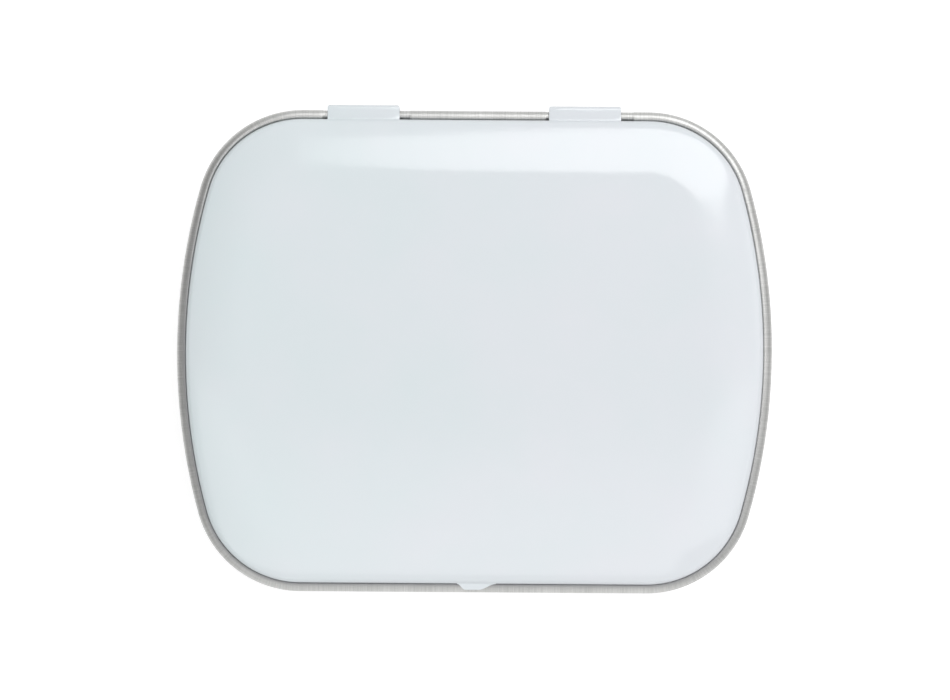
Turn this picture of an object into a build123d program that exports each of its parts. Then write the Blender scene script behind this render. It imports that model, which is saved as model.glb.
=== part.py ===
from build123d import *
import os
from math import acos, asin, atan, copysign, cos, degrees, radians, sin

# Pocket mint tin with a hinged lid, in millimetres.
# Origin: centre of the underside of the base. X is the width, Y points to the hinge, Z is up.
# Both pieces are drawn from thin tinplate, so each is described by the centre line of its sheet.

# Sheet and overall size
sheet = 0.2
rim_width = 60.0
rim_depth = 48.5
side_bow_radius = 61.0
corner_radius = 10.7
base_height = 9.2
foot_radius = 1.4

# Rolled rim of the base, which is also the hinge pin
curl_diameter = 0.95
curl_turn = 290

# Lid panel, shoulder, edge and skirt
shoulder_width = 5.0
shoulder_fall = 0.9
edge_radius = 0.8
edge_overhang = 0.05
skirt_clearance = 0.15
skirt_depth = 2.4
step_radius = 0.25

# Hinge tabs of the lid and the slots that they pass through
tab_width = 7.4
tab_spacing = 22.3
tab_offset = -0.1
tab_reach = 0.6
tab_clearance = 0.05
tab_tail = 0.75
tab_root_radius = 0.3
tab_corner_radius = 0.2
slot_width = 8.9
slot_spacing = 22.5
slot_offset = 0.2
slot_clearance = 0.12
slot_corner_radius = 0.3

# Thumb lip at the front
lip_tip_width = 1.6
lip_flank_left = 0.8
lip_flank_right = 1.5
lip_reach = 0.6

# Length by which a cutting shape runs past what it cuts
overrun = 5.0

# Worked-out sizes
half_width = rim_width / 2
half_depth = rim_depth / 2
curl_radius = curl_diameter / 2
axis_y = half_depth - curl_radius
axis_z = base_height - curl_radius
foot_bend = foot_radius - sheet / 2
roll_radius = edge_radius - sheet / 2
lid_inset = curl_diameter - edge_overhang
shoulder_slope = 2 * degrees(atan(shoulder_fall / shoulder_width))
roll_fall = roll_radius * cos(radians(shoulder_slope))
roll_advance = roll_radius * (1 - sin(radians(shoulder_slope)))
shoulder_inset = lid_inset + sheet / 2 + roll_advance + shoulder_width
lid_top = base_height + shoulder_fall + roll_fall + sheet / 2
tab_level = curl_radius + tab_clearance + sheet / 2
root_rise = tab_clearance + sheet / 2 + tab_root_radius
root_lean = degrees(acos(root_rise / (roll_radius + tab_root_radius)))
root_reach = (roll_radius + tab_root_radius) * sin(radians(root_lean)) - edge_radius


def outline(inset):
    """Closed path: the rim's outline moved inwards, from the middle of the back edge."""
    side = half_width - inset
    back = half_depth - inset
    corner = corner_radius - inset
    slope = degrees(asin((half_depth - corner_radius) / (side_bow_radius - corner_radius)))
    bow_x = half_width - side_bow_radius
    corner_x = bow_x + (side_bow_radius - corner_radius) * cos(radians(slope))
    corner_y = half_depth - corner_radius
    middle = (0, back)
    path = [Line(middle, (corner_x, back))]
    path += [CenterArc((corner_x, corner_y), corner, 90, slope - 90)]
    path += [CenterArc((bow_x, 0), side - bow_x, slope, -2 * slope)]
    path += [CenterArc((corner_x, -corner_y), corner, -slope, slope - 90)]
    path += [Line((corner_x, -back), (-corner_x, -back))]
    path += [CenterArc((-corner_x, -corner_y), corner, -90, slope - 90)]
    path += [CenterArc((-bow_x, 0), side - bow_x, slope - 180, -2 * slope)]
    path += [CenterArc((-corner_x, corner_y), corner, 180 - slope, slope - 90)]
    path += [Line((-corner_x, back), middle)]
    return Wire(path)


def sheet_section(start, moves):
    """Face across a bent sheet whose centre line starts at (y, z) and heads outwards.

    A move is (length, 0) for a straight, or (bend radius, turn in degrees), left turns positive.
    """
    point, heading = Vector(*start), 0
    upper, lower = [], []
    for size, turn in moves:
        ahead = Vector(1, 0).rotate(Axis.Z, heading)
        across = Vector(0, 1).rotate(Axis.Z, heading)
        centre = point + across * copysign(size, turn)
        for side, edges in ((sheet / 2, upper), (-sheet / 2, lower)):
            begin = point + across * side
            if turn:
                spoke = begin - centre
                middle = centre + spoke.rotate(Axis.Z, turn / 2)
                edges.append(ThreePointArc(begin, middle, centre + spoke.rotate(Axis.Z, turn)))
            else:
                edges.append(Line(begin, begin + ahead * size))
        if turn:
            point = centre + (point - centre).rotate(Axis.Z, turn)
        else:
            point = point + ahead * size
        heading += turn
    ends = [Line(upper[0] @ 0, lower[0] @ 0), Line(upper[-1] @ 1, lower[-1] @ 1)]
    return Plane.YZ * make_face(upper + lower + ends)


def plate(inset, bottom):
    """Flat sheet inside the outline, with its lower face at the given height."""
    return Pos(0, 0, bottom) * extrude(make_face(outline(inset)), sheet)


def across_x(profile, centre, width):
    """Strip of bent sheet: a section drawn at x = 0, made to a width about a centre."""
    return Pos(centre - width / 2, 0, 0) * extrude(profile, width, dir=(1, 0, 0))


def slot_centres():
    """Centres of the two wall slots along X."""
    return [slot_offset + side * slot_spacing / 2 for side in (-1, 1)]


def tab_centres():
    """Centres of the two hinge tabs along X."""
    return [tab_offset + side * tab_spacing / 2 for side in (-1, 1)]


def wall_slots():
    """Cutters for the slots: the wall alone, from the rim's axis down past the turning tabs."""
    height = curl_radius + tab_reach + slot_clearance
    wall_face = half_depth - curl_diameter + sheet + tab_clearance
    window = extrude(Plane.XZ * RectangleRounded(slot_width, height, slot_corner_radius), overrun)
    window = Pos(0, wall_face, axis_z - height / 2) * window
    return [Pos(centre, 0, 0) * window for centre in slot_centres()]


def base_shell():
    """Drawn pan: floor, rounded foot, wall, and the rim rolled outwards into a fine tube."""
    floor_inset = curl_diameter - sheet / 2 + foot_bend + foot_radius
    moves = [
        (foot_radius, 0),
        (foot_bend, 90),
        (axis_z - foot_radius, 0),
        (curl_radius - sheet / 2, -curl_turn),
    ]
    section = sheet_section((half_depth - floor_inset, sheet / 2), moves)
    side = sweep(section, path=outline(0))
    pan = side + plate(floor_inset, 0)
    return pan - wall_slots()


def lid_section(moves):
    """Section of the lid from the flat panel's edge outwards: the sloping shoulder, then moves."""
    shoulder_bend = shoulder_width / sin(radians(shoulder_slope))
    start = (half_depth - shoulder_inset, lid_top - sheet / 2)
    return sheet_section(start, [(shoulder_bend, -shoulder_slope)] + moves)


def root_moves():
    """Rounded edge down to where a tab or the lip leaves it, then the bend back to level."""
    return [(roll_radius, shoulder_slope - root_lean), (tab_root_radius, root_lean)]


def border_section():
    """Section of the lid's border: rounded edge, step inwards off the rim, and skirt."""
    step_turn = degrees(acos(1 - (edge_overhang + skirt_clearance) / (2 * step_radius)))
    step_height = 2 * step_radius * sin(radians(step_turn))
    moves = [
        (roll_radius, shoulder_slope - 90),
        (step_radius, -step_turn),
        (step_radius, step_turn),
        (skirt_depth - step_height, 0),
    ]
    return lid_section(moves)


def tab_section():
    """Section of a hinge tab: over the rolled rim, round outside it and back in through the slot."""
    bend_centre = half_depth + tab_reach - sheet / 2 - tab_level
    level_start = half_depth - lid_inset + root_reach
    moves = [
        (bend_centre - level_start, 0),
        (tab_level, -180),
        (bend_centre - axis_y + tab_tail, 0),
    ]
    return lid_section(root_moves() + moves)


def hinge_tab(centre):
    """One hinge tab with the strip of border that carries it, its outer corners rounded."""
    strip = across_x(tab_section(), centre, tab_width)
    length = 2 * shoulder_inset
    middle = half_depth + tab_reach - length / 2
    plan = Pos(centre, middle) * RectangleRounded(tab_width, length, tab_corner_radius)
    return strip & extrude(plan, lid_top)


def lip_section():
    """Section of the thumb lip: level over the rim, as on the hinge side but short."""
    return lid_section(root_moves() + [(lip_reach - root_reach, 0)])


def lip_trim(left, right):
    """Cutters that leave the lip's tip narrow, with one S-shaped flank on each side."""
    edge = half_depth - lid_inset
    tip = edge + lip_reach
    cutters = []
    for root, end in ((left, -lip_tip_width / 2), (right, lip_tip_width / 2)):
        flank = Spline((root, edge), (end, tip), tangents=[(end - root, 0), (end - root, 0)])
        corner = Polyline((end, tip), (end, tip + overrun), (root, tip + overrun), (root, edge))
        cutters.append(extrude(make_face(flank + corner), lid_top))
    return cutters


def without_strip(shell, centre, width):
    """Shell with its back border taken away over one strip, from the panel's edge outwards."""
    length = shoulder_inset + overrun
    middle = half_depth - shoulder_inset + length / 2
    return shell - Pos(centre, middle, lid_top) * Box(width, length, 2 * base_height)


def lid_shell():
    """Drawn cover: flat panel, shoulder, rounded edge and skirt, with its tabs and thumb lip."""
    border = sweep(border_section(), path=outline(0))
    cover = border + plate(shoulder_inset, lid_top - sheet)
    for centre in tab_centres():
        cover = without_strip(cover, centre, tab_width) + hinge_tab(centre)
    left = -lip_tip_width / 2 - lip_flank_left
    right = lip_tip_width / 2 + lip_flank_right
    centre = (left + right) / 2
    lip = across_x(lip_section(), centre, right - left) - lip_trim(left, right)
    turned = cover.mirror(Plane.XZ)
    turned = without_strip(turned, centre, right - left) + lip
    return turned.mirror(Plane.XZ)


os.makedirs("parts", exist_ok=True)
for name, shape in (("base", base_shell()), ("lid", lid_shell())):
    export_step(shape, f"parts/{name}.step")
    print(name, len(shape.solids()), round(shape.volume, 3), shape.is_valid)
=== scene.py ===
# %% [markdown]
# # A pocket mint tin with a hinged lid
# The tin is two pieces of thin drawn tinplate. The base is a shallow pan whose top edge is rolled
# outwards into a fine tube. The lid is white outside and bare inside, and its two tabs wrap round
# that tube, so the tube is the hinge pin. A measured model gives the places. This lesson makes
# both sheets again as clean meshes, in which every face knows its finish, and lights the closed
# tin from above on plain white.

from math import acos, asin, atan, ceil, cos, degrees, hypot, pi, radians, sin

import bmesh
import bpy
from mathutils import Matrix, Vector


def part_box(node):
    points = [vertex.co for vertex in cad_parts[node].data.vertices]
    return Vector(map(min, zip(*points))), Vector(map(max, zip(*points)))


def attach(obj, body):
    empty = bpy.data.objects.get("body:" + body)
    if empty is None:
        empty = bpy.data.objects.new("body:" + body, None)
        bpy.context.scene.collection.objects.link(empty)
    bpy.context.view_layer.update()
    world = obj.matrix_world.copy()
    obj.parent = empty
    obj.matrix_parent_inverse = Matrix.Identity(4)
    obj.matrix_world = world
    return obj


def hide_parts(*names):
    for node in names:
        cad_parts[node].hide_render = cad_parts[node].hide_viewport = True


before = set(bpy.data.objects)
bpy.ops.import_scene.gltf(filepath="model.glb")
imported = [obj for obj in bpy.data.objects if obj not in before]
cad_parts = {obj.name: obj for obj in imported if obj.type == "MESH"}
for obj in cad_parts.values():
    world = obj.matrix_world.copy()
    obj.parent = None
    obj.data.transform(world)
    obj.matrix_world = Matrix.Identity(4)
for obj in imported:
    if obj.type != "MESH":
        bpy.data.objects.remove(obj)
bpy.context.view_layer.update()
_, base_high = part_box("base")
_, lid_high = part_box("lid")

# %% [markdown]
# ## Sizes
# Blender works in metres, so small sizes are written as millimetres times `mm`. The overall sizes
# come from the frame. The others are the thickness of the sheet and the radii of the outline,
# which a box around the part can't tell.

# %% Name the sizes
mm = 0.001
sheet = 0.2 * mm
half_width = base_high.x
half_depth = base_high.y
base_height = base_high.z
lid_top = lid_high.z
side_bow_radius = 61.0 * mm
corner_radius = 10.7 * mm
print("rim", round(half_width * 2 / mm, 2), "by", round(half_depth * 2 / mm, 2), "mm")

# %% [markdown]
# ## The outline
# Seen from above, the tin has a straight front and back, bowed sides and round corners. Every
# ring of the tin is the same outline moved inwards, so the outline is a list of stations: a point
# on the rim, the direction out of the tin there, and the distance run along the edge. Moving a
# station inwards along its own direction keeps every arc a true arc.

# %% Places along straight edges and arcs
def places_between(start, end, marks, spacing):
    """Even places from start up to but not including end, with every mark in that stretch."""
    count = ceil(abs(end - start) / spacing)
    even = [start + (end - start) * i / count for i in range(count)]
    kept = [mark for mark in marks if min(start, end) < mark < max(start, end)]
    clear = [place for place in even[1:] if all(abs(place - mark) > spacing / 3 for mark in kept)]
    return sorted([start] + clear + kept, reverse=end < start)


def arc_places(centre, radius, start, end, step):
    """Points and outward directions along an arc, from start up to but not including end."""
    count = ceil(abs(end - start) / step)
    angles = [radians(start + (end - start) * i / count) for i in range(count)]
    spokes = [(cos(angle), sin(angle)) for angle in angles]
    return [(centre[0] + radius * x, centre[1] + radius * y, x, y) for x, y in spokes]


# %% Walk round the outline
def outline_stations(back_marks, front_marks, spacing=2.5 * mm, arc_step=3.0):
    """Stations (x, y, out x, out y, run) clockwise from the middle of the back edge."""
    corner_y = half_depth - corner_radius
    lean = degrees(asin(corner_y / (side_bow_radius - corner_radius)))
    bow_x = half_width - side_bow_radius
    corner_x = bow_x + (side_bow_radius - corner_radius) * cos(radians(lean))
    bow_step = arc_step / 2
    walk = [(x, half_depth, 0, 1) for x in places_between(0, corner_x, back_marks, spacing)]
    walk += arc_places((corner_x, corner_y), corner_radius, 90, lean, arc_step)
    walk += arc_places((bow_x, 0), side_bow_radius, lean, 0, bow_step)
    walk += arc_places((bow_x, 0), side_bow_radius, 0, -lean, bow_step)
    walk += arc_places((corner_x, -corner_y), corner_radius, -lean, -90, arc_step)
    walk += [(x, -half_depth, 0, -1) for x in places_between(corner_x, -corner_x, front_marks, spacing)]
    walk += arc_places((-corner_x, -corner_y), corner_radius, -90, lean - 180, arc_step)
    walk += arc_places((-bow_x, 0), side_bow_radius, lean - 180, -180, bow_step)
    walk += arc_places((-bow_x, 0), side_bow_radius, 180, 180 - lean, bow_step)
    walk += arc_places((-corner_x, corner_y), corner_radius, 180 - lean, 90, arc_step)
    walk += [(x, half_depth, 0, 1) for x in places_between(-corner_x, 0, back_marks, spacing)]
    stations, run = [], 0.0
    for index, (x, y, out_x, out_y) in enumerate(walk):
        before = walk[index - 1]
        run += hypot(x - before[0], y - before[1]) if index else 0.0
        stations.append((x, y, out_x, out_y, run))
    return stations


def step_to(stations, index):
    """The station before one, and the runs of both. The step to the first one closes the ring."""
    before, station = stations[index - 1], stations[index]
    return before, before[4], before[4] + hypot(station[0] - before[0], station[1] - before[1])


print("stations round a plain ring", len(outline_stations([], [])))

# %% [markdown]
# ## The bent sheet
# A piece of sheet metal is one line seen edge on, with a thickness. `bent_line` walks along the
# middle of the sheet: a move is a straight length, or a bend with its radius and its turn. Each
# sample keeps its heading, so the two faces lie half a sheet to either side and stay parallel
# through every bend, as a press leaves them.

# %% Walk along a bent sheet
def bent_line(start, moves, bend_step=9.0, piece=1.5 * mm, count=None):
    """Samples (inset, height, heading in degrees, run) along the middle of a bent sheet.

    It goes on from the sample start. A heading of 0 is outwards, and left turns are positive.
    A move is cut into steps of at most a turn or a length, or else into a given count of steps.
    """
    inset, height, heading, run = start
    samples = [start]
    for size, turn in moves:
        pieces = count or (ceil(abs(turn) / bend_step) if turn else ceil(size / piece))
        for _ in range(pieces):
            part = turn / pieces
            chord = 2 * size * sin(radians(abs(part) / 2)) if turn else size / pieces
            along = radians(heading + part / 2)
            inset -= chord * cos(along)
            height += chord * sin(along)
            heading += part
            run += size * radians(abs(part)) if turn else chord
            samples.append((inset, height, heading, run))
    return samples


def face_point(sample, side):
    """(inset, height) on the sheet's face beside a sample: side 1 is left of the heading, -1 right."""
    inset, height, heading, _ = sample
    reach = side * sheet / 2
    return inset + reach * sin(radians(heading)), height + reach * cos(radians(heading))


# %% Helpers for samples and corners
def blend(sample_a, sample_b, part):
    """The sample a given part of the way from one to another."""
    return tuple(a + (b - a) * part for a, b in zip(sample_a, sample_b))


def ease(part):
    """An even part from 0 to 1 turned into one that starts and ends gently."""
    return part ** 2 * (3 - 2 * part)


def corner_cut(radius, depth):
    """How far a round corner stands back from a square one, at a depth in from its side."""
    return radius - (radius ** 2 - (radius - depth) ** 2) ** 0.5 if depth < radius else 0.0


# %% [markdown]
# ## A mesh that remembers its faces
# Both pieces are made face by face, because each face has to know its finish, and which way the
# marks of rolling and drawing run on it. `SheetMesh` collects points and faces, and `finish` hands
# them to Blender with a map named `grain`, in millimetres, whose first coordinate runs along the
# marks.

# %% Collect points and faces
LACQUER, BARE, RIM, CUT = "lacquer", "bare", "rim", "cut"
FLAT, ROUND, DOWN = "in plan", "along the rim", "down the wall"
sharp_angle = radians(38)


class SheetMesh:
    def __init__(self):
        self.points, self.faces, self.finishes, self.places = [], [], [], []

    def point(self, x, y, height):
        self.points.append((x, y, height))
        return len(self.points) - 1

    def beside(self, station, inset, height):
        """A point a given inset in from a station."""
        x, y, out_x, out_y, _ = station
        return self.point(x - out_x * inset, y - out_y * inset, height)

    def face(self, corners, finish, places=None):
        """A face, with its corners' places on the grain map. Without places it takes X and Y."""
        self.faces.append(corners)
        self.finishes.append(finish)
        self.places.append(places or [self.points[corner][:2] for corner in corners])

    def band(self, columns, alongs, runs, finishes, grains, left_out=()):
        """Faces between two neighbouring columns, apart from the rows left out."""
        column_a, column_b = columns
        along_a, along_b = alongs
        for row in range(len(column_a) - 1):
            if row in left_out:
                continue
            corners = [column_a[row], column_b[row], column_b[row + 1], column_a[row + 1]]
            low, high = runs[row], runs[row + 1]
            places = [(along_a, low), (along_b, low), (along_b, high), (along_a, high)]
            if grains[row] == DOWN:
                places = [(run, along) for along, run in places]
            self.face(corners, finishes[row], None if grains[row] == FLAT else places)

    def fill(self, rim, finish, scales=(0.97, 0.8, 0.55, 0.3, 0.1)):
        """Closes a flat ring with smaller rings and a middle point."""
        places = [self.points[index] for index in rim]
        outer = rim
        for scale in scales:
            inner = [self.point(x * scale, y * scale, height) for x, y, height in places]
            for i in range(len(rim)):
                self.face([outer[i - 1], outer[i], inner[i], inner[i - 1]], finish)
            outer = inner
        middle = self.point(0, 0, places[0][2])
        for i in range(len(rim)):
            self.face([outer[i - 1], outer[i], middle], finish)

    def finish(self, name, finishes):
        """A Blender object with smooth faces that all look outwards, its slots in the given order."""
        data = bpy.data.meshes.new(name)
        data.from_pydata(self.points, [], self.faces)
        data.polygons.foreach_set("material_index", [finishes.index(finish) for finish in self.finishes])
        grain = data.uv_layers.new(name="grain")
        values = [value / mm for places in self.places for place in places for value in place]
        grain.uv.foreach_set("vector", values)
        shell = bmesh.new()
        shell.from_mesh(data)
        bmesh.ops.recalc_face_normals(shell, faces=shell.faces)
        open_edges = sum(not edge.is_manifold for edge in shell.edges)
        volume = shell.calc_volume() / mm ** 3
        shell.to_mesh(data)
        shell.free()
        data.shade_smooth()
        data.set_sharp_from_angle(angle=sharp_angle)
        piece = bpy.data.objects.new(name, data)
        bpy.context.scene.collection.objects.link(piece)
        print(name, len(data.polygons), "faces,", open_edges, "open edges,", round(volume, 1), "cubic mm")
        return piece


# %% [markdown]
# ### Columns
# One column of points goes out along the sheet's upper face, round its cut edge and back along
# its lower face. Joining the columns of all stations gives the whole sheet, with its thickness. A
# Solidify modifier could thicken a single surface too, but the slots would then need cutting, and
# the cut edges couldn't be rounded.

# %% Draw one column
edge_bulge = 0.03 * mm


def plain_point(mesh, station, sample, side):
    return mesh.beside(station, *face_point(sample, side))


def sheet_column(mesh, station, samples, place):
    """A column's points, its cut edge slightly rounded. `place` puts each sample's two points."""
    inset, height, heading, _ = samples[-1]
    edge = (inset - edge_bulge * cos(radians(heading)), height + edge_bulge * sin(radians(heading)))
    upper = [place(mesh, station, sample, 1) for sample in samples]
    lower = [place(mesh, station, sample, -1) for sample in samples]
    return upper + [mesh.beside(station, *edge)] + lower[::-1]


def column_runs(samples):
    """The run at each point of a column, which goes on over the cut edge and back."""
    runs = [sample[3] for sample in samples]
    cut_run = runs[-1] + sheet / 2
    return runs + [cut_run] + [2 * cut_run - run for run in runs[::-1]]


# %% [markdown]
# ## The base
# The real base is one blank of tinplate, drawn into a pan and then curled outwards all round its
# top edge. The curl hides the raw edge, stiffens the rim, and at the back it is the hinge pin.
# Two slots are pierced through the back wall under the curl. They are left out of the columns
# there, which keeps their rims clean, and a cutting tool isn't needed.

# %% Sizes of the base
foot_radius = 1.4 * mm
foot_bend = foot_radius - sheet / 2
curl_diameter = 0.95 * mm
curl_radius = curl_diameter / 2
curl_turn = 290
axis_y = half_depth - curl_radius
axis_z = base_height - curl_radius
slot_width = 8.9 * mm
slot_height = 1.195 * mm
slot_corner = 0.3 * mm
slot_middles = [-11.05 * mm, 11.45 * mm]

# Distances in from a slot's end where a station has to lie.
slot_steps = [step * mm for step in (-0.15, 0, 0.05, 0.12, 0.3, 0.7)]
slot_marks = [middle + side * (slot_width / 2 - step) for middle in slot_middles
              for side in (-1, 1) for step in slot_steps]
base_stations = outline_stations(slot_marks, [])
print("stations round the base", len(base_stations))


def depth_in_slot(station):
    """How far a station lies inside the nearer end of a slot; below 0 outside the slots."""
    x, _, _, out_y, _ = station
    inside = max(slot_width / 2 - abs(x - middle) for middle in slot_middles)
    return round(inside, 9) if out_y == 1 else -1.0


# %% [markdown]
# ### The wall and the rim
# The section starts flat on the table, turns up round the foot, climbs the wall and rolls over.
# On this tin the rolled rim isn't quite round. It is a bead, with a tight corner beside the lid,
# a broad crown that falls away outwards, and a hook curled in under it. Over a slot the curl is
# pressed into a round pin for the lid's tabs. All sections have the same number of samples, so
# that they can be blended.

# %% Draw the base's sections
floor_inset = curl_diameter - sheet / 2 + foot_bend + foot_radius
wall_line = bent_line((floor_inset, sheet / 2, 0.0, 0.0), [(foot_radius, 0), (foot_bend, 90)])
wall_line += bent_line(wall_line[-1], [(axis_z - slot_height - foot_radius, 0)])[1:]
slot_row = len(wall_line) - 1
wall_line += bent_line(wall_line[-1], [(slot_height, 0)])[1:]
curl_row = slot_row + 1

crown_turn = 45
hook_heading = -200
hook_bend = 0.3 * mm
corner_count, crown_count, hook_count = 9, 9, 17


def bead(corner_bend, corner_turn):
    """The base's section with a beaded rim, whose corner beside the lid has a given bend."""
    start = 90 - corner_turn
    end = start - crown_turn
    width = curl_diameter - sheet - corner_bend * (1 - sin(radians(start)))
    width -= hook_bend * (1 + sin(radians(end)))
    crown_bend = width / (sin(radians(start)) - sin(radians(end)))
    rise = corner_bend
    if start > 0:
        rise = corner_bend * cos(radians(start)) + crown_bend * (1 - cos(radians(start)))
    samples = wall_line + bent_line(wall_line[-1], [(base_height - sheet / 2 - rise - axis_z, 0)])[1:]
    samples += bent_line(samples[-1], [(corner_bend, -corner_turn)], count=corner_count)[1:]
    samples += bent_line(samples[-1], [(crown_bend, -crown_turn)], count=crown_count)[1:]
    samples += bent_line(samples[-1], [(hook_bend, hook_heading - end)], count=hook_count)[1:]
    return samples


tight_bead = bead(corner_bend=0.09 * mm, corner_turn=96)
round_bead = bead(corner_bend=0.20 * mm, corner_turn=80)
base_rows = len(tight_bead)
rim_count = base_rows - len(wall_line)
pin_line = wall_line + bent_line(wall_line[-1], [(curl_radius - sheet / 2, -curl_turn)], count=rim_count)[1:]
print("rows up the wall", len(wall_line), "and round the rim", rim_count)

# %% [markdown]
# ### How the rim changes round the tin
# The bead is tight at the front and sides, and rounder along the back. At the two back corners it
# comes close to a plain tube. Within a slot's end it turns into the pin over a short ramp, and the
# pin is a little slimmer than the rim, so that the tabs can turn on it.

# %% Blend the section round the tin
rounder_from, rounder_by = 0.6, 0.95
corner_roundness = 0.9
pin_ramp = 0.12 * mm
pin_share = 0.94


def base_samples(station):
    """The base's section at a station."""
    _, _, out_x, out_y, _ = station
    backwards = max(0.0, min(1.0, (out_y - rounder_from) / (rounder_by - rounder_from)))
    at_corner = corner_roundness * abs(out_x) * max(0.0, out_y)
    depth = depth_in_slot(station)
    part = max(0.0, min(1.0, depth / pin_ramp))
    samples = [blend(*pair, ease(backwards)) for pair in zip(tight_bead, round_bead)]
    samples = [blend(*pair, at_corner) for pair in zip(samples, pin_line)]
    samples = [blend(*pair, part) for pair in zip(samples, pin_line)]
    if depth < 0:
        return samples
    squeeze = 1 - (1 - pin_share) * part
    for row in range(curl_row, base_rows):
        inset, height, heading, run = samples[row]
        inset = curl_radius + (inset - curl_radius) * squeeze
        samples[row] = (inset, axis_z + (height - axis_z) * squeeze, heading, run)
    inset, height, heading, run = samples[slot_row]
    samples[slot_row] = (inset, height + corner_cut(slot_corner, depth), heading, run)
    return samples


# %% [markdown]
# ### Joining the base
# The faces between two columns are bare tin, rim or cut edge by their row. Where both columns lie
# in a slot, the wall's faces are left out, and faces across the sheet close the slot's rim.

# %% Join the base's columns
def make_base():
    """The base as one closed mesh."""
    mesh = SheetMesh()
    columns = [sheet_column(mesh, station, base_samples(station), plain_point)
               for station in base_stations]
    runs = column_runs(tight_bead)
    last = len(runs) - 1
    finishes = [BARE] * curl_row + [RIM] * (base_rows - 1 - curl_row) + [CUT] * 2
    finishes += [BARE] * (last - len(finishes))
    grains = [FLAT] + [DOWN] * (last - 2) + [FLAT]
    slot_rows = (slot_row, last - curl_row)
    for index, station in enumerate(base_stations):
        before, along_a, along_b = step_to(base_stations, index)
        column_a, column_b = columns[index - 1], columns[index]
        depths = depth_in_slot(before), depth_in_slot(station)
        opened = min(depths) >= 0 and max(depths) > 0
        left_out = slot_rows if opened else ()
        mesh.band((column_a, column_b), (along_a, along_b), runs, finishes, grains, left_out)
        if opened:
            for row in (slot_row, curl_row):
                corners = [column_a[row], column_b[row], column_b[last - row], column_a[last - row]]
                mesh.face(corners, CUT)
        if depths[1] == 0:
            rows = (slot_row, curl_row, last - curl_row, last - slot_row)
            mesh.face([column_b[row] for row in rows], CUT)
    mesh.fill([column[0] for column in columns], BARE)
    mesh.fill([column[-1] for column in columns], BARE)
    return mesh.finish("tin_base", [BARE, RIM, CUT])


tin_base = make_base()

# %% [markdown]
# ## The lid
# The lid is pressed from the same sheet: a flat panel, a shoulder that falls away from it in one
# long bend, a tight rounded edge, then a small step inwards and a skirt that drops inside the
# base. Two tabs at the back and the lip at the front are left standing on the blank, so there the
# skirt is missing.

# %% Sizes of the lid
shoulder_width = 5.0 * mm
shoulder_fall = 0.9 * mm
edge_radius = 0.8 * mm
edge_overhang = 0.05 * mm
skirt_clearance = 0.15 * mm
skirt_depth = 2.4 * mm
step_radius = 0.25 * mm
root_radius = 0.3 * mm
tab_width = 7.25 * mm
tab_middles = [-11.33 * mm, 10.97 * mm]
tab_reach = 0.5 * mm
tab_clearance = 0.05 * mm
tab_tail = 0.75 * mm
tab_corner = 0.2 * mm
tab_lift = 1.5
tight_bend = 0.25 * mm
lip_root_left = -1.6 * mm
lip_root_right = 2.3 * mm
lip_tip_left = -0.8 * mm
lip_tip_right = 0.6 * mm
lip_reach = 0.6 * mm

roll_radius = edge_radius - sheet / 2
lid_inset = curl_diameter - edge_overhang
shoulder_slope = 2 * degrees(atan(shoulder_fall / shoulder_width))
panel_inset = lid_inset + sheet / 2 + roll_radius * (1 - sin(radians(shoulder_slope))) + shoulder_width
tab_level = curl_radius + tab_clearance + sheet / 2
root_lean = degrees(acos((tab_clearance + sheet / 2 + root_radius) / (roll_radius + root_radius)))
root_reach = (roll_radius + root_radius) * sin(radians(root_lean)) - edge_radius
print("shoulder falls to", round(shoulder_slope, 1), "degrees")

# %% [markdown]
# ### Four lines
# All columns share the panel, the shoulder and the start of the rounded edge. After that each goes
# its own way: down into the skirt, round the hinge and back in through the slot, or out to the lip.
# The shared line is sampled finely, because its reflections show every flat spot.

# %% Bend the lid's four lines
shoulder_bend = shoulder_width / sin(radians(shoulder_slope))
shoulder_step, edge_step = 1.7, 7
shared_line = bent_line((panel_inset, lid_top - sheet / 2, 0.0, 0.0),
                        [(shoulder_bend, -shoulder_slope)], shoulder_step)
shared_line += bent_line(shared_line[-1], [(roll_radius, shoulder_slope - root_lean)], edge_step)[1:]

step_turn = degrees(acos(1 - (edge_overhang + skirt_clearance) / (2 * step_radius)))
step_height = 2 * step_radius * sin(radians(step_turn))
skirt_moves = [(roll_radius, root_lean - 90), (step_radius, -step_turn), (step_radius, step_turn),
               (skirt_depth - step_height, 0)]
skirt_line = bent_line(shared_line[-1], skirt_moves)

outer_line = half_depth + tab_reach - sheet / 2
level_run = outer_line - tight_bend - (half_depth - lid_inset + root_reach)
tail_run = outer_line - tab_level - axis_y + tab_tail
tab_moves = [(root_radius, root_lean + tab_lift), (level_run, 0), (tight_bend, -90 - tab_lift),
             (tab_level - tight_bend, 0), (tab_level, -90), (tail_run, 0)]
tab_line = bent_line(shared_line[-1], tab_moves, piece=0.2 * mm)

lip_line = bent_line(shared_line[-1], [(root_radius, root_lean), (lip_reach - root_reach, 0)])
print("samples", len(shared_line), "shared,", len(skirt_line), "skirt,", len(tab_line), "tab")

# %% [markdown]
# ### Tabs and lip
# A pressed tab is never a plain strip. The blanking die rolls its side edges over a little, and
# its outer corners are rounded. The lip ends in a narrow tip, and an S-shaped flank on each side
# runs back into the edge, so each of its columns is cut off at its own length.

# %% Shape the columns of a tab
blank_roll = 0.06 * mm
roll_width = 1.2 * mm
roll_run = 0.6 * mm


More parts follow.
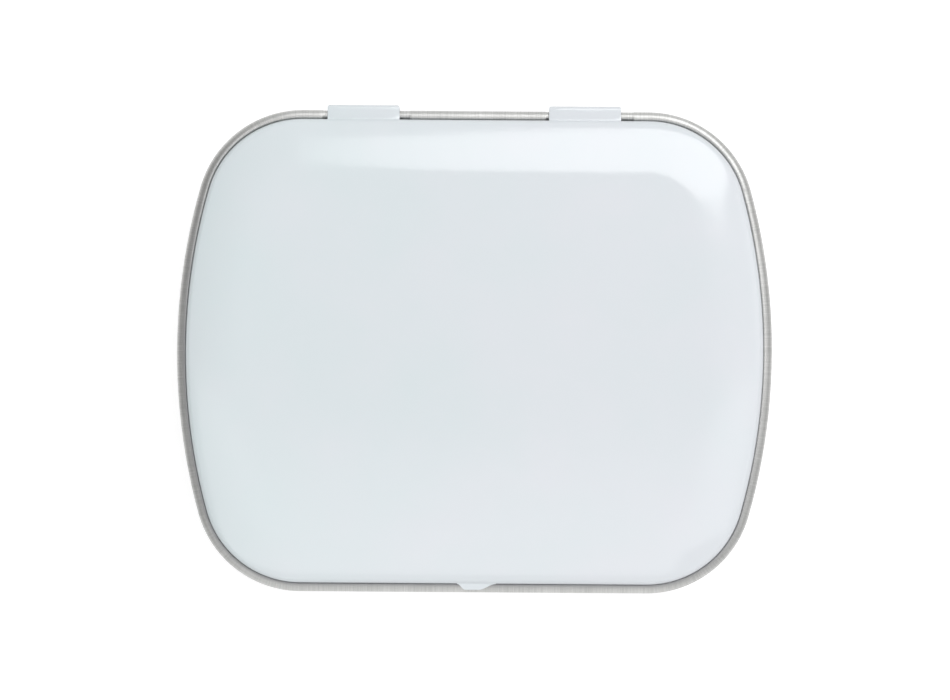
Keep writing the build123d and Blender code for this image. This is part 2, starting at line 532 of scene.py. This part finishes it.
def tab_point(mesh, station, sample, side):
    """A point of a tab, with rolled-over side edges and rounded outer corners."""
    x, y, out_x, out_y, along = station
    inset, height = face_point(sample, side)
    middle = min(tab_middles, key=lambda place: abs(place - x))
    from_side = tab_width / 2 - abs(x - middle)
    settled = min(1.0, (sample[3] - tab_line[0][3]) / roll_run)
    droop = settled * blank_roll * max(0.0, 1 - from_side / roll_width) ** 2
    height -= droop * max(0.0, cos(radians(sample[2])))
    trim = corner_cut(tab_corner, max(0.0, inset + tab_reach))
    x = middle + (x - middle) * (1 - trim / (tab_width / 2))
    return mesh.beside((x, y, out_x, out_y, along), inset, height)


# %% Shape the columns of the lip
lip_rows = 8
tiny = 1e-9


def sample_at(samples, run):
    """The sheet at a given run, between two samples."""
    after = next((i for i in range(1, len(samples)) if samples[i][3] >= run), len(samples) - 1)
    low, high = samples[after - 1], samples[after]
    return blend(low, high, (run - low[3]) / (high[3] - low[3]))


def lip_samples(x):
    """Samples of the lip's sheet at one place across it, up to its cut end there."""
    root, tip = (lip_root_left, lip_tip_left) if x < 0 else (lip_root_right, lip_tip_right)
    part = max(0.0, min(1.0, (x - root) / (tip - root)))
    end_inset = lid_inset - lip_reach * ease(part)
    after = next((i for i in range(1, len(lip_line)) if lip_line[i][0] <= end_inset + tiny), -1)
    low, high = lip_line[after - 1], lip_line[after]
    end_run = low[3] + (high[3] - low[3]) * (low[0] - end_inset) / (low[0] - high[0])
    start_run = lip_line[0][3]
    runs = [start_run + (end_run - start_run) * i / lip_rows for i in range(lip_rows + 1)]
    return [sample_at(lip_line, run) for run in runs]


# %% [markdown]
# ### Joining the lid
# The stations lie closer together where a tab or the lip starts, and there two columns share one
# station: one of the skirt and one of the tab or lip. Faces across the sheet close the cut between
# them.

# %% Choose the lid's stations
SKIRT, TAB, LIP = "skirt", "tab", "lip"
# Distances in from a tab's side where a station has to lie.
tab_steps = [step * mm for step in (0, 0.04, 0.1, 0.2, 0.35, 0.55, 0.8, 1.2)]
tab_marks = [middle + side * (tab_width / 2 - step) for middle in tab_middles
             for side in (-1, 1) for step in tab_steps]
lip_count = 26
lip_marks = [lip_root_left + (lip_root_right - lip_root_left) * i / lip_count
             for i in range(lip_count + 1)]
lid_stations = outline_stations(tab_marks, lip_marks)
print("stations round the lid", len(lid_stations))


def lid_form(x, out_y):
    """What the lid's edge does at a place: its skirt, a tab or the lip."""
    if out_y == 1 and min(abs(x - middle) for middle in tab_middles) < tab_width / 2:
        return TAB
    return LIP if out_y == -1 and lip_root_left < x < lip_root_right else SKIRT


# %% Join the lid's columns
def lid_run(mesh, station, form, upper_root, lower_root):
    """One column of the lid beyond the shared rows, between its two root points."""
    samples = {SKIRT: skirt_line, TAB: tab_line}.get(form) or lip_samples(station[0])
    place = tab_point if form == TAB else plain_point
    column = sheet_column(mesh, station, samples[1:], place)
    return [upper_root] + column + [lower_root], column_runs(samples)


def side_faces(mesh, column):
    """Closes the cut side of a tab, of the lip or of the skirt beside them."""
    last = len(column) - 1
    middle = last // 2
    for row in range(middle - 1):
        mesh.face([column[row], column[row + 1], column[last - row - 1], column[last - row]], CUT)
    mesh.face([column[middle - 1], column[middle], column[middle + 1]], CUT)


def make_lid():
    """The lid as one closed mesh."""
    mesh = SheetMesh()
    uppers = [[plain_point(mesh, station, sample, 1) for sample in shared_line]
              for station in lid_stations]
    lowers = [[plain_point(mesh, station, sample, -1) for sample in shared_line[::-1]]
              for station in lid_stations]
    shared_rows = len(shared_line) - 1
    shared_runs = [sample[3] for sample in shared_line]
    kept = {}
    for index, station in enumerate(lid_stations):
        before, along_a, along_b = step_to(lid_stations, index)
        for columns, finish in ((uppers, LACQUER), (lowers, BARE)):
            mesh.band((columns[index - 1], columns[index]), (along_a, along_b), shared_runs,
                      [finish] * shared_rows, [FLAT] * shared_rows)
        form = lid_form((before[0] + station[0]) / 2, station[3] if before[3] == station[3] else 0)
        pair = []
        for number in (index - 1, index):
            key = (number % len(lid_stations), form)
            if key not in kept:
                kept[key] = lid_run(mesh, lid_stations[number], form, uppers[number][-1], lowers[number][0])
            pair.append(kept[key])
        (column_a, runs), (column_b, _) = pair
        half = len(column_a) // 2
        finishes = [LACQUER] * (half - 1) + [CUT, CUT] + [BARE] * (half - 1)
        mesh.band((column_a, column_b), (along_a, along_b), runs, finishes, [ROUND] * (2 * half))
    for (number, _), (column, _) in kept.items():
        if sum(key[0] == number for key in kept) > 1:
            side_faces(mesh, column)
    mesh.fill([column[0] for column in uppers], LACQUER)
    mesh.fill([column[-1] for column in lowers], BARE)
    return mesh.finish("tin_lid", [LACQUER, BARE, CUT])


tin_lid = make_lid()

# %% [markdown]
# ## Finishes
# Four finishes cover the tin: bare tinplate, the same tin on the rolled rim with painted shade in its
# seam, white lacquer, and the thin cut edge of the sheet. What they share is built once as node groups
# with named sockets: the fine lines that rolling and drawing leave, cloudy patches, and hair
# scratches. A group only gives masks. The shader, with its plain numbers, stays in the material.

# %% Helpers for node trees
def add_node(tree, kind, **settings):
    """A node of a kind; settings that name an input set its value, others set the node itself."""
    node = tree.nodes.new(kind)
    for key, value in settings.items():
        if key in node.inputs:
            node.inputs[key].default_value = value
        else:
            setattr(node, key, value)
    return node


def calculate(tree, operation, first, second=None):
    """A maths node whose two values are numbers or sockets. It gives its output socket."""
    node = add_node(tree, "ShaderNodeMath", operation=operation)
    for socket, value in zip(node.inputs, (first, second)):
        if isinstance(value, (int, float)):
            socket.default_value = value
        elif value is not None:
            tree.links.new(value, socket)
    return node.outputs[0]


def add_share(tree, value, extra, share):
    """A value plus a share of another."""
    return calculate(tree, "ADD", value, calculate(tree, "MULTIPLY", extra, share))


def mix_masks(tree, first, second, share):
    """Two masks mixed by the first one's share."""
    return add_share(tree, calculate(tree, "MULTIPLY", first, share), second, 1 - share)


def spread(tree, value, low, high, to_low=0.0, to_high=1.0):
    """A value stretched from one range to another and kept inside it."""
    node = add_node(tree, "ShaderNodeMapRange")
    tree.links.new(value, node.inputs["Value"])
    for name, number in (("From Min", low), ("From Max", high), ("To Min", to_low), ("To Max", to_high)):
        node.inputs[name].default_value = number
    return node.outputs["Result"]


def split_map(tree, source, output):
    """The X, Y and Z sockets of a map: of where a point lies, or of its place on the grain map."""
    split = add_node(tree, "ShaderNodeSeparateXYZ")
    tree.links.new(source.outputs[output], split.inputs[0])
    return split.outputs


# %% Helpers for node groups
def new_group(name, inputs, outputs):
    """An empty shader group with named float inputs and outputs."""
    group = bpy.data.node_groups.new(name, "ShaderNodeTree")
    for label, value in inputs.items():
        socket = group.interface.new_socket(label, in_out="INPUT", socket_type="NodeSocketFloat")
        socket.default_value = value
    for label in outputs:
        group.interface.new_socket(label, in_out="OUTPUT", socket_type="NodeSocketFloat")
    print("group", name, "with inputs", list(inputs))
    return group, group.nodes.new("NodeGroupInput"), group.nodes.new("NodeGroupOutput")


def place_group(tree, group, **values):
    """A group's mask in a material, made with its own values. Underscores stand for spaces."""
    node = tree.nodes.new("ShaderNodeGroup")
    node.node_tree = group
    for label, value in values.items():
        node.inputs[label.replace("_", " ")].default_value = value
    return node.outputs[0]


# %% [markdown]
# ### Lines of the rolling mill
# Tinplate is rolled and then drawn over tools, so its surface is full of fine lines that all run
# one way. Noise that is squeezed across the `grain` map and stretched along it gives such lines.
# Noise keeps mostly to its middle values, so that range is stretched. A picture of brushed metal
# would do too, but it would end somewhere, and this doesn't.

# %% Group for the rolled lines
line_contrast = (0.32, 0.68)


def make_rolled_lines():
    group, given, result = new_group("rolled lines", {"Lines per mm": 6.0, "Line length": 12.0}, ["Lines"])
    grain = split_map(group, add_node(group, "ShaderNodeUVMap", uv_map="grain"), "UV")
    along = calculate(group, "DIVIDE", grain["X"], given.outputs["Line length"])
    across = calculate(group, "MULTIPLY", grain["Y"], given.outputs["Lines per mm"])
    merged = add_node(group, "ShaderNodeCombineXYZ")
    group.links.new(along, merged.inputs["X"])
    group.links.new(across, merged.inputs["Y"])
    lines = add_node(group, "ShaderNodeTexNoise", Scale=1.0, Detail=3.0, Roughness=0.65)
    group.links.new(merged.outputs[0], lines.inputs["Vector"])
    group.links.new(spread(group, lines.outputs["Fac"], *line_contrast), result.inputs["Lines"])
    return group


rolled_lines = make_rolled_lines()

# %% [markdown]
# ### Cloudy patches
# No coat and no tin layer is equally thick everywhere. Soft noise in the object's own space gives
# patches that turn with the piece. The lacquer uses the same group again, much finer, for the
# ripples in its surface.

# %% Group for cloudy patches
patch_contrast = (0.3, 0.7)


def make_patches():
    group, given, result = new_group("patches", {"Patches per m": 150.0, "Seed": 0.0}, ["Patches"])
    where = add_node(group, "ShaderNodeTexCoord")
    noise = add_node(group, "ShaderNodeTexNoise", noise_dimensions="4D", Detail=4.0, Roughness=0.55)
    group.links.new(where.outputs["Object"], noise.inputs["Vector"])
    group.links.new(given.outputs["Patches per m"], noise.inputs["Scale"])
    group.links.new(given.outputs["Seed"], noise.inputs["W"])
    group.links.new(spread(group, noise.outputs["Fac"], *patch_contrast), result.inputs["Patches"])
    return group


patches = make_patches()

# %% [markdown]
# ### Hair scratches
# A pocket tin is never free of them. The edges between long thin cells make hairlines, and a
# second noise keeps only a few of them, so that they start and end by themselves.

# %% Group for hair scratches
scratch_sets = ((0.5, 0.12), (-0.9, 0.1))
scratch_tilt = (0.2, -0.3)
scratch_fade = 10.0


def make_hair_scratches():
    inputs = {"Scratches per m": 60.0, "Width": 0.02, "Share": 0.3, "Seed": 0.0}
    group, given, result = new_group("hair scratches", inputs, ["Scratches"])
    where = add_node(group, "ShaderNodeTexCoord")
    total = None
    for angle, stretch in scratch_sets:
        turned = add_node(group, "ShaderNodeMapping")
        turned.inputs["Rotation"].default_value = (*scratch_tilt, angle)
        turned.inputs["Scale"].default_value = (stretch, 1.0, 1.0)
        cells = add_node(group, "ShaderNodeTexVoronoi", feature="DISTANCE_TO_EDGE")
        keeps = add_node(group, "ShaderNodeTexNoise", noise_dimensions="4D", Detail=1.0)
        group.links.new(where.outputs["Object"], turned.inputs["Vector"])
        group.links.new(turned.outputs[0], cells.inputs["Vector"])
        group.links.new(where.outputs["Object"], keeps.inputs["Vector"])
        group.links.new(given.outputs["Scratches per m"], cells.inputs["Scale"])
        group.links.new(given.outputs["Scratches per m"], keeps.inputs["Scale"])
        group.links.new(calculate(group, "ADD", given.outputs["Seed"], angle), keeps.inputs["W"])
        near = calculate(group, "DIVIDE", cells.outputs["Distance"], given.outputs["Width"])
        hair = calculate(group, "SUBTRACT", 1.0, calculate(group, "MINIMUM", near, 1.0))
        limit = calculate(group, "SUBTRACT", 1.0, given.outputs["Share"])
        over = calculate(group, "SUBTRACT", keeps.outputs["Fac"], limit)
        kept = calculate(group, "MULTIPLY", calculate(group, "MAXIMUM", over, 0.0), scratch_fade)
        line = calculate(group, "MULTIPLY", hair, calculate(group, "MINIMUM", kept, 1.0))
        total = line if total is None else calculate(group, "MAXIMUM", total, line)
    group.links.new(total, result.inputs["Scratches"])
    return group


hair_scratches = make_hair_scratches()

# %% [markdown]
# ### What every material starts with
# A new material comes with a Principled shader. A mask then mixes two tones of its colour, and a
# Bump node turns a height mask into tiny slopes, whose depth is given in metres.

# %% Start a material
def new_material(name):
    """A material with its node tree and its shader."""
    material = bpy.data.materials.new(name)
    material.use_nodes = True
    tree = material.node_tree
    return material, tree, tree.nodes["Principled BSDF"]


def mix_colours(tree, mask, low, high):
    """A colour between two, by a mask. Each is a plain colour or a socket."""
    node = add_node(tree, "ShaderNodeMix", data_type="RGBA")
    tree.links.new(mask, node.inputs[0])
    for socket, colour in ((node.inputs[6], low), (node.inputs[7], high)):
        if isinstance(colour, tuple):
            socket.default_value = (*colour, 1.0)
        else:
            tree.links.new(colour, socket)
    return node.outputs[2]


def add_bump(tree, height, depth, normal=None):
    """A bump of a given depth in metres, on top of another normal where one is given."""
    bump = add_node(tree, "ShaderNodeBump", Strength=1.0, Distance=depth)
    tree.links.new(height, bump.inputs["Height"])
    if normal is not None:
        tree.links.new(normal, bump.inputs["Normal"])
    return bump.outputs["Normal"]


# %% [markdown]
# ### Bare tinplate
# Tin is a soft white metal, satin after drawing: the tools leave fine bright and dark lines, which
# climb the wall and cross the rim. So the shader is metal throughout, the lines change its tone,
# its roughness and its height a little, and the patches keep it from looking even. On the rim, a
# painted shade darkens the seam beside the lid, most at the front and on the left, away from the lamps.

# %% Make the tinplate
tin_dark = (0.45, 0.455, 0.445)
tin_bright = (0.62, 0.62, 0.61)
lines_share = 0.65
tin_roughness = (0.49, 0.40)
hairs_on_tin = 0.15
tin_relief = 0.0012 * mm
# Painted shade: the rim's colour is darkened in the seam beside the lid, most at the front and on the left,
# away from the lamps.
seam_shade_colour = (0.28, 0.28, 0.285)
shade_slant = 0.4
shade_band = 12.0 * mm
least_shade = 0.15
seam_width = 0.30
seam_row = len(wall_line) + corner_count - 1
seam_start = tight_bead[seam_row][3] / mm


def painted_seam_shade(tree, start, end):
    """A mask of painted shade in the seam beside the lid, which fades between two places along the grain
    map, and towards the back.
    """
    grain = split_map(tree, add_node(tree, "ShaderNodeUVMap", uv_map="grain"), "UV")
    darkening = calculate(tree, "SUBTRACT", 1.0, spread(tree, grain["X"], start, end))
    place = split_map(tree, add_node(tree, "ShaderNodeTexCoord"), "Object")
    backwards = add_share(tree, place["Y"], place["X"], shade_slant)
    return calculate(tree, "MULTIPLY", darkening, spread(tree, backwards, -shade_band, shade_band, 1.0, least_shade))


def make_tinplate(name, seam=None):
    """Bare tin. A seam is the stretch of the grain map over which the seam's painted shade fades."""
    material, tree, shader = new_material(name)
    lines = place_group(tree, rolled_lines, Lines_per_mm=7.0, Line_length=9.0)
    cloud = place_group(tree, patches, Patches_per_m=260.0, Seed=3.0)
    hairs = place_group(tree, hair_scratches, Scratches_per_m=140.0, Share=0.45, Seed=1.0)
    tone = mix_masks(tree, lines, cloud, lines_share)
    colour = mix_colours(tree, tone, tin_dark, tin_bright)
    if seam:
        # Painted shade in the seam beside the lid, mixed into the rim's colour.
        colour = mix_colours(tree, painted_seam_shade(tree, *seam), colour, seam_shade_colour)
    tree.links.new(colour, shader.inputs["Base Color"])
    rough = add_share(tree, spread(tree, tone, 0.0, 1.0, *tin_roughness), hairs, hairs_on_tin)
    tree.links.new(rough, shader.inputs["Roughness"])
    height = calculate(tree, "SUBTRACT", lines, hairs)
    tree.links.new(add_bump(tree, height, tin_relief), shader.inputs["Normal"])
    shader.inputs["Metallic"].default_value = 1.0
    return material


bare_tinplate = make_tinplate("bare_tinplate")
rim_tinplate = make_tinplate("rim_tinplate", (seam_start, seam_start + seam_width))
# Where the painted shade in the seam starts, along the rim's section.
print("seam dirt starts", round(seam_start, 2), "mm along the section")

# %% [markdown]
# ### White lacquer
# The lid's outside is printed white and then varnished. Its white drifts softly, greener on the
# left and bluer on the right, and its gloss is high. The coat ripples a little, which bends the
# edges of reflections. Its faint patches and hair scratches show mostly in the gloss, as they do
# on the real coat.

# %% Make the lacquer
greener_white = (0.672, 0.752, 0.767)
bluer_white = (0.735, 0.755, 0.794)
drift_left, drift_right = -30.0 * mm, 10.0 * mm
drift_share = 0.55
lacquer_roughness = (0.085, 0.12)
hairs_on_lacquer = 0.12
ripple_height = 0.004 * mm
scratch_depth = 0.0008 * mm


def make_lacquer():
    material, tree, shader = new_material("white_varnished_lacquer")
    cloud = place_group(tree, patches, Patches_per_m=90.0, Seed=8.0)
    ripple = place_group(tree, patches, Patches_per_m=420.0, Seed=5.0)
    hairs = place_group(tree, hair_scratches, Scratches_per_m=70.0, Width=0.012, Share=0.34, Seed=6.0)
    place = split_map(tree, add_node(tree, "ShaderNodeTexCoord"), "Object")
    drift = spread(tree, place["X"], drift_left, drift_right)
    tone = mix_masks(tree, drift, cloud, drift_share)
    colour = mix_colours(tree, tone, greener_white, bluer_white)
    tree.links.new(colour, shader.inputs["Base Color"])
    rough = add_share(tree, spread(tree, cloud, 0.0, 1.0, *lacquer_roughness), hairs, hairs_on_lacquer)
    tree.links.new(rough, shader.inputs["Roughness"])
    waves = add_bump(tree, ripple, ripple_height)
    height = calculate(tree, "SUBTRACT", 1.0, hairs)
    tree.links.new(add_bump(tree, height, scratch_depth, waves), shader.inputs["Normal"])
    return material


white_lacquer = make_lacquer()

# %% [markdown]
# ### Cut edge
# Where the sheet was sheared, neither tin nor lacquer covers the steel. The edge is darker and
# rougher, and its fine lines run along the cut.

# %% Make the cut edge and hand out the finishes
steel_dark = (0.36, 0.36, 0.365)
steel_bright = (0.56, 0.56, 0.56)
steel_roughness = (0.35, 0.55)
shear_marks = 0.003 * mm


def make_cut_edge():
    material, tree, shader = new_material("cut_steel_edge")
    lines = place_group(tree, rolled_lines, Lines_per_mm=14.0, Line_length=1.5)
    cloud = place_group(tree, patches, Patches_per_m=700.0, Seed=2.0)
    tree.links.new(mix_colours(tree, lines, steel_dark, steel_bright), shader.inputs["Base Color"])
    tree.links.new(spread(tree, cloud, 0.0, 1.0, *steel_roughness), shader.inputs["Roughness"])
    tree.links.new(add_bump(tree, lines, shear_marks), shader.inputs["Normal"])
    shader.inputs["Metallic"].default_value = 1.0
    return material


cut_steel_edge = make_cut_edge()
for piece, finishes in ((tin_base, (bare_tinplate, rim_tinplate, cut_steel_edge)),
                        (tin_lid, (white_lacquer, bare_tinplate, cut_steel_edge))):
    for material in finishes:
        piece.data.materials.append(material)
print("finishes", [material.name for material in bpy.data.materials if material.users])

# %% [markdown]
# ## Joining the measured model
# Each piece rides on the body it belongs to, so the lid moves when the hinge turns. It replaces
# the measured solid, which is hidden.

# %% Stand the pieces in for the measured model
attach(tin_base, "base")
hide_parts("base")
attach(tin_lid, "lid")
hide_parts("lid")
print("tin_base rides on base, tin_lid on lid")

# %% [markdown]
# ## Floor
# The tin was photographed on plain white. The floor is a matt grey sheet with a glow that only the
# camera and reflections see, so it shows as white, and still takes the tin's shadow.

# %% Lay the floor
floor_reach = 3.0
floor_grey = 0.42
floor_glow = 0.75
white = (1.0, 1.0, 1.0, 1.0)


def make_floor():
    data = bpy.data.meshes.new("floor")
    corners = [(x * floor_reach, y * floor_reach, 0) for x, y in ((-1, -1), (1, -1), (1, 1), (-1, 1))]
    data.from_pydata(corners, [], [(0, 1, 2, 3)])
    floor = bpy.data.objects.new("floor", data)
    bpy.context.scene.collection.objects.link(floor)
    material = bpy.data.materials.new("white_sheet")
    material.use_nodes = True
    tree = material.node_tree
    tree.nodes.clear()
    rays = add_node(tree, "ShaderNodeLightPath")
    seen = calculate(tree, "MAXIMUM", rays.outputs["Is Camera Ray"], rays.outputs["Is Glossy Ray"])
    seen = calculate(tree, "MAXIMUM", seen, rays.outputs["Is Transmission Ray"])
    matt = add_node(tree, "ShaderNodeBsdfDiffuse", Color=(floor_grey, floor_grey, floor_grey, 1.0))
    glow = add_node(tree, "ShaderNodeEmission", Color=white)
    both = add_node(tree, "ShaderNodeAddShader")
    out = add_node(tree, "ShaderNodeOutputMaterial")
    tree.links.new(calculate(tree, "MULTIPLY", seen, floor_glow), glow.inputs["Strength"])
    tree.links.new(matt.outputs[0], both.inputs[0])
    tree.links.new(glow.outputs[0], both.inputs[1])
    tree.links.new(both.outputs[0], out.inputs["Surface"])
    data.materials.append(material)
    print("floor", 2 * floor_reach, "m wide")


make_floor()

# %% [markdown]
# ## Surroundings
# A rolled rim mirrors the whole room. Here each side of the room has its own glow, which is
# strongest straight along that axis and fades with the square of the cosine. The front and back
# are bright, the left and right dimmer, and overhead it is nearly dark, apart from the lamps.

# %% Light the surroundings
room_glow = [("X", 1, 0.5), ("X", -1, 0.42), ("Y", 1, 1.0), ("Y", -1, 1.3), ("Z", 1, 0.02)]


def make_world():
    world = bpy.data.worlds.new("white surroundings")
    bpy.context.scene.world = world
    world.use_nodes = True
    tree = world.node_tree
    sky = tree.nodes["Background"]
    direction = split_map(tree, add_node(tree, "ShaderNodeTexCoord"), "Generated")
    strength = 0.0
    for axis, side, glow in room_glow:
        towards = calculate(tree, "MAXIMUM", calculate(tree, "MULTIPLY", direction[axis], side), 0.0)
        share = calculate(tree, "MULTIPLY", calculate(tree, "MULTIPLY", towards, towards), glow)
        strength = calculate(tree, "ADD", share, strength)
    rays = add_node(tree, "ShaderNodeLightPath")
    shown = calculate(tree, "MAXIMUM", strength, rays.outputs["Is Camera Ray"])
    shown = calculate(tree, "MAXIMUM", shown, rays.outputs["Is Transmission Ray"])
    tree.links.new(shown, sky.inputs["Strength"])
    sky.inputs["Color"].default_value = white
    print("surroundings glow from", len(room_glow), "sides")


make_world()

# %% [markdown]
# ## Lamps
# One broad softbox hangs behind the tin and to its right. Its reflection is the bright band that
# bends round the back right shoulder, so its near edge lies where the shoulder begins to fall. It
# is made of strips that hang side by side, because lamps that overlap dim each other in
# reflections. A panel on the right brightens the rim there, and two in front lift the front.

# %% Make one lamp
lamp_height = 0.7


def hang_panel(name, left, right, near, far, radiance):
    """A rectangular lamp that faces down. Left and right are along X, near and far along Y."""
    data = bpy.data.lights.new(name, "AREA")
    data.shape = "RECTANGLE"
    data.size, data.size_y = right - left, far - near
    data.energy = radiance * pi * data.size * data.size_y
    panel = bpy.data.objects.new(name, data)
    panel.location = ((left + right) / 2, (near + far) / 2, lamp_height)
    panel.visible_camera = False
    bpy.context.scene.collection.objects.link(panel)


# %% Hang the lamps
# Each strip has its left, right, near and far limits and its radiance. The softbox is dimmer at
# its left end, and its corners are cut off, so at both ends the near edge steps back.
full_glow, full_far = 4.0, 0.64
corner_left, corner_width = 0.200, 0.043
softbox_strips = [(-0.045, -0.038, 0.190, 0.42, 1.0), (-0.038, -0.030, 0.155, 0.43, 1.7),
                  (-0.030, -0.022, 0.125, 0.45, 2.4), (-0.022, -0.013, 0.102, 0.48, 2.9),
                  (-0.013, -0.004, 0.088, 0.50, 3.1), (-0.004, 0.020, 0.078, 0.56, 3.4),
                  (0.020, corner_left, 0.075, full_far, full_glow)]
corner_near = [0.085, 0.090, 0.100, 0.112, 0.130, 0.155, 0.190, 0.240, 0.310]
for step, near in enumerate(corner_near):
    left = corner_left + corner_width * step
    softbox_strips.append((left, left + corner_width, near, full_far, full_glow))
for number, strip in enumerate(softbox_strips):
    hang_panel("softbox_strip_%d" % number, *strip)
hang_panel("right_panel", left=0.65, right=1.3, near=-0.25, far=0.25, radiance=0.9)
hang_panel("front_panel_near", left=-0.6, right=0.6, near=-0.33, far=-0.026, radiance=1.15)
hang_panel("front_panel_far", left=-0.6, right=0.22, near=-0.6, far=-0.33, radiance=1.25)
print("softbox of", len(softbox_strips), "strips, and 3 panels")

# %% [markdown]
# ## Camera
# The photograph looks straight down. A long lens half a metre above keeps the sides out of view,
# and a small turn of the camera gives the slight tilt of the tin in the picture.

# %% Place the camera
view_distance = 0.5
view_width = 95.75 * mm
view_middle = (0.05 * mm, 0.18 * mm)
view_turn = radians(0.4)
sensor_width = 36.0
lens_data = bpy.data.cameras.new("camera")
lens_data.sensor_width = sensor_width
lens_data.lens = sensor_width * view_distance / view_width
camera = bpy.data.objects.new("camera", lens_data)
camera.location = (*view_middle, axis_z + view_distance)
camera.rotation_euler = (0.0, 0.0, view_turn)
bpy.context.scene.collection.objects.link(camera)
bpy.context.scene.camera = camera
bpy.context.scene.view_settings.view_transform = "Standard"
print("lens", round(lens_data.lens, 1), "mm")
